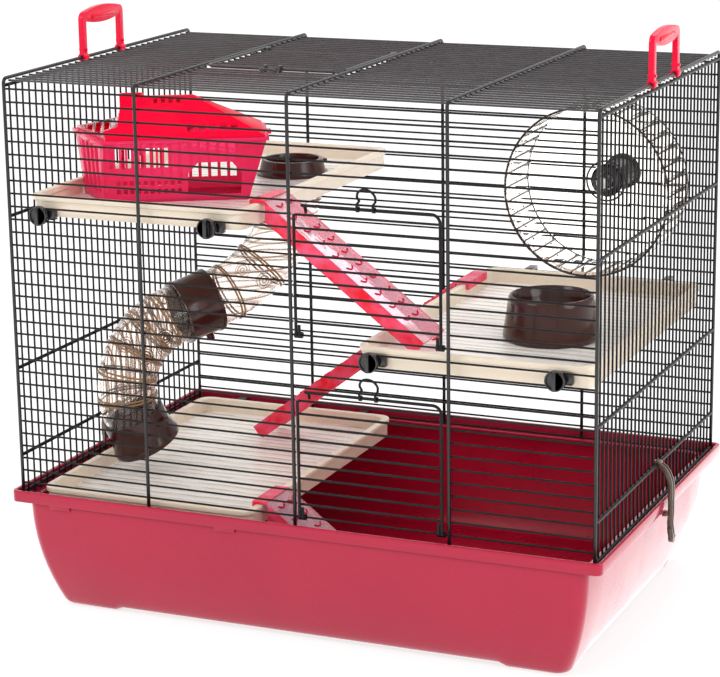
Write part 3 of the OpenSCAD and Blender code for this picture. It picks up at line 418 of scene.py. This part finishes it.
def editVertices(obj, test):
    # Edit mode with the vertices selected whose place passes a test
    editAll(obj)
    bpy.ops.mesh.select_all(action="DESELECT")
    bpy.ops.object.mode_set(mode="OBJECT")
    for vertex in obj.data.vertices:
        vertex.select = test(vertex.co)
    bpy.ops.object.mode_set(mode="EDIT")


def addModifier(obj, kind, **settings):
    pick(obj)
    modifier = obj.modifiers.new(kind.title(), kind)
    for key, value in settings.items():
        setattr(modifier, key, value)
    bpy.ops.object.modifier_apply(modifier=modifier.name)


def joined(pieces):
    pick(pieces[0])
    for piece in pieces:
        piece.select_set(True)
    bpy.ops.object.join()
    return bpy.context.object


def finishPiece(obj, name, slotName, body, smoothAngle, material=None):
    # The slot's own material, or another one by name
    pick(obj)
    bpy.ops.object.transform_apply(location=True, rotation=True, scale=True)
    bpy.ops.object.shade_smooth_by_angle(angle=radians(smoothAngle))
    obj.name = name
    obj.data.materials.clear()
    obj.data.materials.append(materials[material or slotName])
    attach(obj, body)
    return obj


def paint(obj, material, test):
    # Gives one more material to the faces that pass a test
    obj.data.materials.append(materials[material])
    for face in obj.data.polygons:
        if test(face):
            face.material_index = len(obj.data.materials) - 1


def outwards():
    # The piece in edit mode gets its normals outwards, and is left in object mode
    bpy.ops.mesh.select_all(action="SELECT")
    bpy.ops.mesh.normals_make_consistent(inside=False)
    bpy.ops.object.mode_set(mode="OBJECT")


def roundEdges(obj, width, angle, segments=2):
    addModifier(obj, "BEVEL", width=width, segments=segments, limit_method="ANGLE",
                angle_limit=radians(angle), use_clamp_overlap=True)


copySizes = {
    # vertices closer than this are one, and a bend of fewer degrees than this is none
    "same": 0.00002, "flat": 0.8,
    # play in tests of a place
    "slack": 0.0001,
}


def softenedCopy(nodeName, width, segments=2, angle=38, smoothAngle=40, material=None):
    # A copy of a CAD node with its flat faces whole again and its edges rounded
    pick(nodes[nodeName])
    bpy.ops.object.duplicate()
    obj = bpy.context.object
    bpy.ops.object.parent_clear(type="CLEAR_KEEP_TRANSFORM")
    editAll(obj)
    bpy.ops.mesh.remove_doubles(threshold=copySizes["same"])
    bpy.ops.mesh.dissolve_limited(angle_limit=radians(copySizes["flat"]))
    bpy.ops.object.mode_set(mode="OBJECT")
    roundEdges(obj, width, angle, segments)
    finishPiece(obj, nodeName + ".soft", slotOfNode[nodeName], bodyOfNode[nodeName], smoothAngle,
                material)
    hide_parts(nodeName)
    return obj


# How much thinner than their solids the wires are drawn: the panels, and what they are welded to
wireSizes = {"panels": 0.00018, "frames": 0.00012, "edge": 0.0001, "edgeAngle": 80, "smooth": 40}


def slimWires(nodeName, less):
    # The welded solids overlap a little, so their wires need some room
    w = wireSizes
    wires = softenedCopy(nodeName, w["edge"], segments=1, angle=w["edgeAngle"],
                         material=paintOfNode.get(nodeName))
    addModifier(wires, "DISPLACE", strength=-less, mid_level=0)
    pick(wires)
    bpy.ops.object.shade_smooth_by_angle(angle=radians(w["smooth"]))


for nodeName in ("front_wires", "back_wires", "roof_wires", "side_left_rods", "side_right_rods"):
    slimWires(nodeName, wireSizes["panels"])
for nodeName in ("hoops", "side_left_rails", "side_right_rails"):
    slimWires(nodeName, wireSizes["frames"])
print("wires ready")

traySizes = {
    # half the length and width of the rim
    "rim": (0.2885, 0.1912), "rimCorner": 0.0065, "rimWall": 0.004, "rimBottom": 0.105,
    "rimTop": 0.116,
    # the ledge inside the rim that the wire top stands on
    "ledgeIn": (0.270, 0.1755), "ledgeInCorner": 0.012, "ledgeBottom": 0.1054, "ledge": 0.1082,
    "ledgeInset": 0.001,
    # the body: half its length and width at the top, and how far it leans in at the floor
    "body": (0.2735, 0.1885), "lean": (0.0225, 0.021), "leanPower": 2.0, "bodyCorner": 0.011,
    "wall": 0.003, "levels": 14, "overlap": 0.0005, "cornerSteps": 6,
    "bottomRound": 0.006, "bottomSteps": (0, 25, 45, 65),
    "foot": (0.058, 0.040), "footSlope": 0.008, "footHeight": 0.003,
    "edge": 0.0012, "edgeAngle": 38, "smooth": 40,
    "tabs": (0.067, 0.237), "tabWidth": 0.021, "tabDrop": 0.0035, "tabThick": 0.003,
    "tabInset": 0.0003, "tabOverlap": 0.003,
    "brackets": (-0.070, 0.070), "bracket": (0.008, 0.022), "bracketReach": 0.009,
    "bracketFoot": 0.2,
    # faces of the inside, which get the painted shade, look at the middle by this much, or up from
    # below this height
    "inwards": 0.0005, "upwards": 0.3, "floorBelow": 0.05,
}


def outlineFace(half, corner, z):
    # A rectangle with rounded corners, as one face left selected in edit mode
    bpy.ops.mesh.primitive_plane_add(size=1, location=(0, 0, z))
    piece = bpy.context.object
    piece.scale = (2 * half[0], 2 * half[1], 1)
    bpy.ops.object.transform_apply(location=True, rotation=True, scale=True)
    editAll(piece)
    bpy.ops.mesh.bevel(offset=corner, offset_type="OFFSET", segments=traySizes["cornerSteps"],
                       affect="VERTICES")
    bpy.ops.mesh.select_all(action="SELECT")
    return piece


def bandRing(outer, outerCorner, inner, innerCorner, low, high):
    # A closed ring between two rounded outlines
    outlines = []
    for half, corner in ((outer, outerCorner), (inner, innerCorner)):
        outlines.append(outlineFace(half, corner, low))
        bpy.ops.mesh.delete(type="ONLY_FACE")
        bpy.ops.object.mode_set(mode="OBJECT")
    ring = joined(outlines)
    editAll(ring, "EDGE")
    bpy.ops.mesh.bridge_edge_loops()
    bpy.ops.mesh.select_all(action="SELECT")
    bpy.ops.mesh.extrude_region_move(TRANSFORM_OT_translate={"value": (0, 0, high - low)})
    outwards()
    return ring


def bodyHalf(z):
    # Half the length and half the width of the body at one height
    t = traySizes
    share = (1 - min(1, z / t["rimBottom"])) ** t["leanPower"]
    rise = min(1, z / t["bottomRound"])
    turnedIn = t["bottomRound"] * (1 - (1 - (1 - rise) ** 2) ** 0.5)
    return [t["body"][i] - t["lean"][i] * share - turnedIn for i in (0, 1)]


def trayTub():
    # Level by level from the floor up, then all of the floor but the feet is raised
    t = traySizes
    start, high = t["bottomRound"], t["rimBottom"] + t["overlap"]
    heights = [start * (1 - cos(radians(a))) for a in t["bottomSteps"]]
    heights += [start + (high - start) * i / t["levels"] for i in range(t["levels"] + 1)]
    half = bodyHalf(0)
    tub = outlineFace(half, t["bodyCorner"], 0)
    for previous, z in zip(heights, heights[1:]):
        wider = bodyHalf(z)
        bpy.ops.mesh.extrude_region_move(TRANSFORM_OT_translate={"value": (0, 0, z - previous)})
        bpy.ops.transform.resize(value=(wider[0] / half[0], wider[1] / half[1], 1),
                                 center_override=(0, 0, z))
        half = wider
    bpy.ops.mesh.delete(type="ONLY_FACE")
    outwards()
    editAll(tub)
    reach = [bodyHalf(start)[i] - t["foot"][i] for i in (0, 1)]
    for axis in (0, 1):
        for place in (reach[axis], reach[axis] - t["footSlope"]):
            for side in (-1, 1):
                point, normal = [0, 0, 0], [0, 0, 0]
                point[axis], normal[axis] = side * place, 1
                bpy.ops.mesh.select_all(action="SELECT")
                bpy.ops.mesh.bisect(plane_co=point, plane_no=normal)

    def betweenFeet(place):
        slack = copySizes["slack"]
        inside = any(abs(place[i]) < reach[i] - t["footSlope"] + slack for i in (0, 1))
        return inside and place.z < start + slack

    editVertices(tub, betweenFeet)
    bpy.ops.transform.translate(value=(0, 0, t["footHeight"]))
    bpy.ops.object.mode_set(mode="OBJECT")
    addModifier(tub, "SOLIDIFY", thickness=t["wall"], offset=-1, use_even_offset=True)
    return tub


def block(low, high):
    bpy.ops.mesh.primitive_cube_add(size=1, location=[(a + b) / 2 for a, b in zip(low, high)])
    piece = bpy.context.object
    piece.scale = [b - a for a, b in zip(low, high)]
    bpy.ops.object.transform_apply(location=True, rotation=True, scale=True)
    return piece


def trayTab(x, side):
    # The rim's skirt reaches lower here; side is -1 at the front and 1 at the back
    t = traySizes
    face = t["rim"][1] - t["tabInset"]
    near, far = sorted((side * (face - t["tabThick"]), side * face))
    return block((x - t["tabWidth"] / 2, near, t["rimBottom"] - t["tabDrop"]),
                 (x + t["tabWidth"] / 2, far, t["rimBottom"] + t["tabOverlap"]))


def trayBracket(x):
    # A wedge under the front edge of the lower shelf
    t = traySizes
    shelfLow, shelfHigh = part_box("shelf_lower")
    wallY = -t["body"][1] + t["wall"] - t["overlap"]
    middle = (shelfLow.x + shelfHigh.x) / 2 + x
    wedge = block((middle - t["bracket"][0] / 2, wallY, shelfLow.z - t["bracket"][1]),
                  (middle + t["bracket"][0] / 2, shelfLow.y + t["bracketReach"], shelfLow.z))
    editVertices(wedge, lambda place: place.z < shelfLow.z - t["bracket"][1] / 2)
    bpy.ops.transform.resize(value=(1, t["bracketFoot"], 1), center_override=(0, wallY, 0))
    bpy.ops.object.mode_set(mode="OBJECT")
    return wedge


def facesInPaintedShade(face):
    # Below the ledge: a wall that looks at the middle, or the floor from above. These faces get
    # the tray red painted darker, as painted shade.
    t = traySizes
    out = face.center.x * face.normal.x + face.center.y * face.normal.y
    floor = face.normal.z > t["upwards"] and face.center.z < t["floorBelow"]
    return (out < -t["inwards"] or floor) and face.center.z < t["ledge"] - t["overlap"]


def addTray():
    t = traySizes
    rimInside = [side - t["rimWall"] for side in t["rim"]]
    ledgeOut = [side - t["ledgeInset"] for side in t["rim"]]
    pieces = [
        trayTub(),
        bandRing(t["rim"], t["rimCorner"], rimInside, t["rimCorner"] - t["rimWall"],
                 t["rimBottom"], t["rimTop"]),
        bandRing(ledgeOut, t["rimCorner"] - t["ledgeInset"], t["ledgeIn"], t["ledgeInCorner"],
                 t["ledgeBottom"], t["ledge"]),
    ]
    pieces += [trayTab(side * place, side) for place in t["tabs"] for side in (-1, 1)]
    pieces += [trayBracket(x) for x in t["brackets"]]
    tray = joined(pieces)
    roundEdges(tray, t["edge"], t["edgeAngle"])
    finishPiece(tray, "tray.moulded", "tray", "cage", t["smooth"])
    # Painted shade: the faces inside the tray get a darker red than the outside
    paint(tray, "trayInsidePaintedShade", facesInPaintedShade)
    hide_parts("tray")


addTray()
print("tray ready")

shelfSizes = {"edge": 0.0012, "recess": 0.014, "levelSlack": 0.0008, "upwards": 0.9}
for nodeName in ("shelf_upper", "shelf_middle", "shelf_lower"):
    shelf = softenedCopy(nodeName, shelfSizes["edge"])
    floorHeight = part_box(nodeName)[1].z - shelfSizes["recess"]
    paint(shelf, "shelfFloor", lambda f: f.normal.z > shelfSizes["upwards"]
          and abs(f.center.z - floorHeight) < shelfSizes["levelSlack"])
print("shelves ready")

# The way is 1 where a ramp runs down to the right
rampSizes = {"edge": 0.0004, "slope": 37.5, "facing": 0.99, "square": 0.999,
             "way": {"ramp_upper": 1, "ramp_middle": -1, "ramp_lower": 1}}


def addRamp(nodeName, way):
    r = rampSizes
    slope = radians(r["slope"])
    rampPiece = softenedCopy(nodeName, r["edge"], segments=1)
    across = Vector((way * sin(slope), 0, cos(slope)))
    along = Vector((way * cos(slope), 0, -sin(slope)))
    # The tread is the largest face that looks along the slope's normal
    treadFaces = [f for f in rampPiece.data.polygons if f.normal.dot(across) > r["facing"]]
    treadLevel = max(treadFaces, key=lambda f: f.area).center.dot(across)
    paint(rampPiece, "rampTread", lambda f: abs(f.normal.dot(across)) > r["facing"]
          or abs(f.normal.dot(along)) > r["facing"])
    paint(rampPiece, "rampMark", lambda f: f.center.dot(across) > treadLevel + copySizes["slack"]
          and abs(f.normal.z) < r["square"] and abs(f.normal.y) < r["square"])


for nodeName, way in rampSizes["way"].items():
    addRamp(nodeName, way)
print("ramps ready")

# The gable is where the roof's low slope at the left end begins, in the house's own frame
houseSizes = {"place": (-0.160, -0.064), "turn": 28, "gable": -0.062,
              "gableSlack": 0.0005, "baseEdge": 0.0004, "roofEdge": 0.0006}


def inLowSlope(face):
    h = houseSizes
    a = radians(h["turn"])
    away = face.center.x - h["place"][0], face.center.y - h["place"][1]
    return away[0] * cos(a) + away[1] * sin(a) < h["gable"] - h["gableSlack"]


softenedCopy("house_base", houseSizes["baseEdge"])
houseRoof = softenedCopy("house_roof", houseSizes["roofEdge"], material="houseRoof")
paint(houseRoof, "housePale", inLowSlope)
print("house ready")


def spunTube(name, start, heading, lead, centre, angle, way):
    # In the tunnel's plane. With way 1 the bend comes first and then the straight stretch that
    # is lead long, with way -1 the other way round
    t = tunnelSizes
    bpy.ops.mesh.primitive_circle_add(vertices=t["roundSteps"], radius=t["radius"],
                                      location=(start[0], 0, start[1]),
                                      rotation=(0, heading, 0))
    tube = bpy.context.object
    bpy.ops.object.transform_apply(location=True, rotation=True, scale=True)
    editAll(tube)
    climb = radians(t["climb"])
    steps = max(t["fewestSteps"], round(abs(angle) / radians(t["bendStep"])))
    for stretch in ("bend", "lead")[::way]:
        if stretch == "bend":
            bpy.ops.mesh.spin(steps=steps, angle=angle, center=(centre[0], 0, centre[1]),
                              axis=(0, -way, 0))
        else:
            bpy.ops.mesh.extrude_edges_move(
                TRANSFORM_OT_translate={"value": (cos(climb) * lead, 0, sin(climb) * lead)})
    bpy.ops.mesh.select_all(action="SELECT")
    bpy.ops.mesh.remove_doubles(threshold=t["same"])
    outwards()
    addModifier(tube, "SOLIDIFY", thickness=t["wall"], offset=-1)
    tube.name = name
    return tube


def ribRings(places):
    # Two thin rings side by side at each place, which is (x, z, heading) of one ring
    t = tunnelSizes
    rings = []
    for x, z, heading in places:
        bpy.ops.mesh.primitive_torus_add(major_radius=t["radius"] + t["ribReach"],
                                         minor_radius=t["ribThick"],
                                         major_segments=t["roundSteps"],
                                         minor_segments=t["ribSteps"], location=(x, 0, z),
                                         rotation=(0, heading, 0))
        rings.append(bpy.context.object)
    return joined(rings)


def ribAngles(middles, bend):
    pair = tunnelSizes["ribPair"] / bend
    return [radians(middle) + side * pair for middle in middles for side in (-0.5, 0.5)]


def intoPlace(obj):
    pick(obj)
    bpy.ops.object.transform_apply(location=True, rotation=True, scale=True)
    obj.location = tunnelSizes["foot"]
    obj.rotation_euler = (0, 0, radians(tunnelSizes["turn"]))
    bpy.ops.object.transform_apply(location=True, rotation=True, scale=True)


def addTunnel():
    t = tunnelSizes
    cx, cz = t["lowerCentre"]
    slope = radians(t["climb"])
    bend, fromAngle, toAngle = t["lowerBend"], radians(t["lowerFrom"]), radians(90 - t["climb"])
    half = t["straight"] / 2 - t["gap"]
    foot = (cx - bend * cos(fromAngle), cz + bend * sin(fromAngle))
    lower = spunTube("tunnelLower", foot, fromAngle, half, (cx, cz), toAngle - fromAngle, 1)
    lowerRibs = ribRings([(cx - bend * cos(a), cz + bend * sin(a), a)
                          for a in ribAngles(t["lowerRibs"], bend)])
    # The upper elbow starts in the middle of the straight stretch
    joint = (cx - bend * cos(toAngle), cz + bend * sin(toAngle))
    begin, riseEnd = [(joint[0] + way * cos(slope), joint[1] + way * sin(slope))
                      for way in (t["straight"] / 2 + t["gap"], t["straight"])]
    wide = t["upperBend"]
    ux, uz = riseEnd[0] - wide * sin(slope), riseEnd[1] + wide * cos(slope)
    upper = spunTube("tunnelUpper", begin, pi / 2 - slope, half, (ux, uz), pi / 2 - slope, -1)
    upperRibs = ribRings([(ux + wide * cos(a), uz + wide * sin(a), -a)
                          for a in ribAngles(t["upperRibs"], wide)])
    for tube, rings, node, material in ((lower, lowerRibs, "tube_lower", "tunnel"),
                                        (upper, upperRibs, "tube_upper", "tunnelUpper")):
        intoPlace(tube)
        finishPiece(tube, node + ".spun", "tunnel", "cage", t["smooth"], material)
        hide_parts(node)
        intoPlace(rings)
        finishPiece(rings, node + ".ribs", "tunnel", "cage", t["smooth"], "tunnelRib")
        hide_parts(node)


addTunnel()
for nodeName in ("tube_top_collar", "tube_middle_collar", "tube_foot_collar"):
    softenedCopy(nodeName, tunnelSizes["collarEdge"], angle=tunnelSizes["collarAngle"])
print("tunnel ready")

wheelSizes = {
    "radius": 0.080, "wall": 0.002, "edge": 0.0004,
    # the rungs lie between these distances inside the wall
    "rungs": (0.003, 0.0003), "rungUpright": 0.5,
    # thin dark rings: two round the rims and one round the hub, a little further in
    "rimThick": 0.0009, "rimPlay": 0.0001, "inset": 0.0012, "hubRing": 0.019, "hubInset": 0.001,
    "ringSteps": 96, "rimSteps": 8, "smooth": 60,
    "hubBoss": 0.0064, "hubEdge": 0.0006, "standEdge": 0.0008, "boltEdge": 0.0005,
    "roundAngle": 30,
}


def middleOf(nodeName):
    low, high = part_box(nodeName)
    return (low + high) / 2


def fromAxis(place, axis):
    return Vector((place.x - axis.x, 0, place.z - axis.z)).length


def addWheel():
    w = wheelSizes
    low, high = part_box("wheel_drum")
    axis = middleOf("wheel_drum")
    drum = softenedCopy("wheel_drum", w["edge"], segments=1)
    near, far = [w["radius"] - w["wall"] - inside for inside in w["rungs"]]
    paint(drum, "clearEdge", lambda f: near < fromAxis(f.center, axis) < far
          and abs(f.normal.y) < w["rungUpright"])
    rings = []
    rimRadius = w["radius"] - w["rimThick"] - w["rimPlay"]
    for y, radius in ((low.y + w["inset"], rimRadius), (high.y - w["inset"], rimRadius),
                      (high.y - w["inset"] - w["hubInset"], w["hubRing"])):
        bpy.ops.mesh.primitive_torus_add(major_radius=radius, minor_radius=w["rimThick"],
                                         major_segments=w["ringSteps"],
                                         minor_segments=w["rimSteps"],
                                         location=(axis.x, y, axis.z), rotation=(pi / 2, 0, 0))
        rings.append(bpy.context.object)
    finishPiece(joined(rings), "wheelRims", "clear", "wheel", w["smooth"], "clearEdge")


def addHub():
    # The boss in the middle stays dark, the ring round it is clear
    w = wheelSizes
    axis = middleOf("wheel_hub")
    hub = softenedCopy("wheel_hub", w["hubEdge"], angle=w["roundAngle"])
    paint(hub, "clear", lambda f: fromAxis(f.center, axis) > w["hubBoss"])


addWheel()
addHub()
softenedCopy("wheel_stand", wheelSizes["standEdge"], angle=wheelSizes["roundAngle"])
softenedCopy("wheel_bolt", wheelSizes["boltEdge"], angle=wheelSizes["roundAngle"])
print("wheel ready")

bowlSizes = {
    # radius and height of the section, from the middle of the underside round to the inside
    "section": ((0.0, 0.004), (0.034, 0.004), (0.0385, 0.0006), (0.0425, 0.0), (0.0436, 0.0012),
                (0.0438, 0.004), (0.0430, 0.0085), (0.0408, 0.022), (0.0392, 0.034),
                (0.0386, 0.0378), (0.0374, 0.0396), (0.0358, 0.0398), (0.0346, 0.0384),
                (0.0330, 0.030), (0.0300, 0.018), (0.0262, 0.0115), (0.020, 0.0094), (0.0, 0.009)),
    "roundSteps": 64, "start": 0.001, "atStart": 0.0001, "smooth": 50,
}


def addBowl():
    b = bowlSizes
    low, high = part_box("bowl")
    bpy.ops.mesh.primitive_plane_add(size=b["start"])
    dish = bpy.context.object
    editAll(dish)
    bpy.ops.mesh.merge(type="CENTER")
    previous = Vector((0, 0, 0))
    for radius, height in b["section"]:
        here = Vector((radius, 0, height))
        bpy.ops.mesh.extrude_vertices_move(TRANSFORM_OT_translate={"value": here - previous})
        previous = here
    # The first vertex was only the start of the line
    editVertices(dish, lambda place: place.length < b["atStart"])
    bpy.ops.mesh.delete(type="VERT")
    bpy.ops.mesh.select_all(action="SELECT")
    bpy.ops.mesh.spin(steps=b["roundSteps"], angle=2 * pi, center=(0, 0, 0), axis=(0, 0, 1))
    bpy.ops.mesh.select_all(action="SELECT")
    bpy.ops.mesh.remove_doubles(threshold=copySizes["same"])
    outwards()
    dish.location = ((low.x + high.x) / 2, (low.y + high.y) / 2, low.z)
    finishPiece(dish, "bowl.spun", "brown", "bowl", b["smooth"])
    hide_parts("bowl")


addBowl()
print("bowl ready")

# Radius of the rounded edges
softEdges = {
    "handle_left": 0.0018, "handle_right": 0.0018,
    "clip_left": 0.0006, "clip_right": 0.0006,
    "knob_upper_left": 0.0006, "knob_upper_right": 0.0006,
    "knob_middle_left": 0.0006, "knob_middle_right": 0.0006,
    "knob_lugs": 0.0005, "shelf_hooks": 0.0004,
}
for nodeName, width in softEdges.items():
    softenedCopy(nodeName, width)
print("small pieces ready")

studio = {
    "worldLight": 1.1,
    "floorSize": 30,
    "floorColour": (0.92, 0.92, 0.92, 1),
    "floorGlow": 0.7,
    "glowStrength": 1.12,
    "glowInGloss": 2.2,
    # place, aim, size, watts
    "lamps": [((-1.6, -2.2, 2.3), (0, 0, 0.25), 1.6, 30),
              ((2.6, -0.9, 1.3), (0.2, 0, 0.2), 1.5, 24),
              ((0.2, 1.6, 2.4), (0, 0, 0.3), 1.8, 16)],
}


def mixShaders(tree, share, first, second, outputName):
    mix = tree.nodes.new("ShaderNodeMixShader")
    for socket, value in zip(mix.inputs, (share, first, second)):
        tree.links.new(value.outputs[0] if hasattr(value, "outputs") else value, socket)
    tree.links.new(mix.outputs[0], tree.nodes[outputName].inputs["Surface"])


def addFloor():
    # A pale floor that glows where the camera or a reflection sees it
    bpy.ops.mesh.primitive_plane_add(size=studio["floorSize"])
    floor = bpy.context.object
    floor.name = "floor"
    mat, tree, shader = newMaterial("floorPaper", **{"Base Color": studio["floorColour"],
                                                     "Roughness": 0.7})
    glow = tree.nodes.new("ShaderNodeEmission")
    rays = tree.nodes.new("ShaderNodeLightPath").outputs
    tree.links.new(span(tree, rays["Is Glossy Ray"], studio["glowStrength"],
                        studio["glowInGloss"]), glow.inputs["Strength"])
    seen = maths(tree, "MAXIMUM", rays["Is Camera Ray"], rays["Is Glossy Ray"])
    mixShaders(tree, maths(tree, "MULTIPLY", seen, studio["floorGlow"]), shader, glow,
               "Material Output")
    floor.data.materials.append(mat)


def addWorld():
    # White light; what is seen straight, in a reflection or through a clear piece is plain white
    world = bpy.data.worlds.new("studio")
    bpy.context.scene.world = world
    world.use_nodes = True
    tree = world.node_tree
    lit = tree.nodes["Background"]
    shown = tree.nodes.new("ShaderNodeBackground")
    for background, strength in ((lit, studio["worldLight"]), (shown, 1)):
        background.inputs["Strength"].default_value = strength
        background.inputs["Color"].default_value = (1, 1, 1, 1)
    rays = tree.nodes.new("ShaderNodeLightPath").outputs
    seen = maths(tree, "MAXIMUM", rays["Is Camera Ray"], rays["Is Glossy Ray"])
    seen = maths(tree, "MAXIMUM", seen, rays["Is Transmission Ray"])
    mixShaders(tree, seen, lit, shown, "World Output")


def addLamps():
    for place, aim, size, watts in studio["lamps"]:
        bpy.ops.object.light_add(type="AREA", location=place)
        lamp = bpy.context.object
        lamp.rotation_euler = (Vector(place) - Vector(aim)).to_track_quat("Z", "Y").to_euler()
        lamp.data.shape = "DISK"
        lamp.data.size = size
        lamp.data.energy = watts


addFloor()
addWorld()
addLamps()
bpy.context.scene.view_settings.view_transform = "Standard"
print("studio ready")
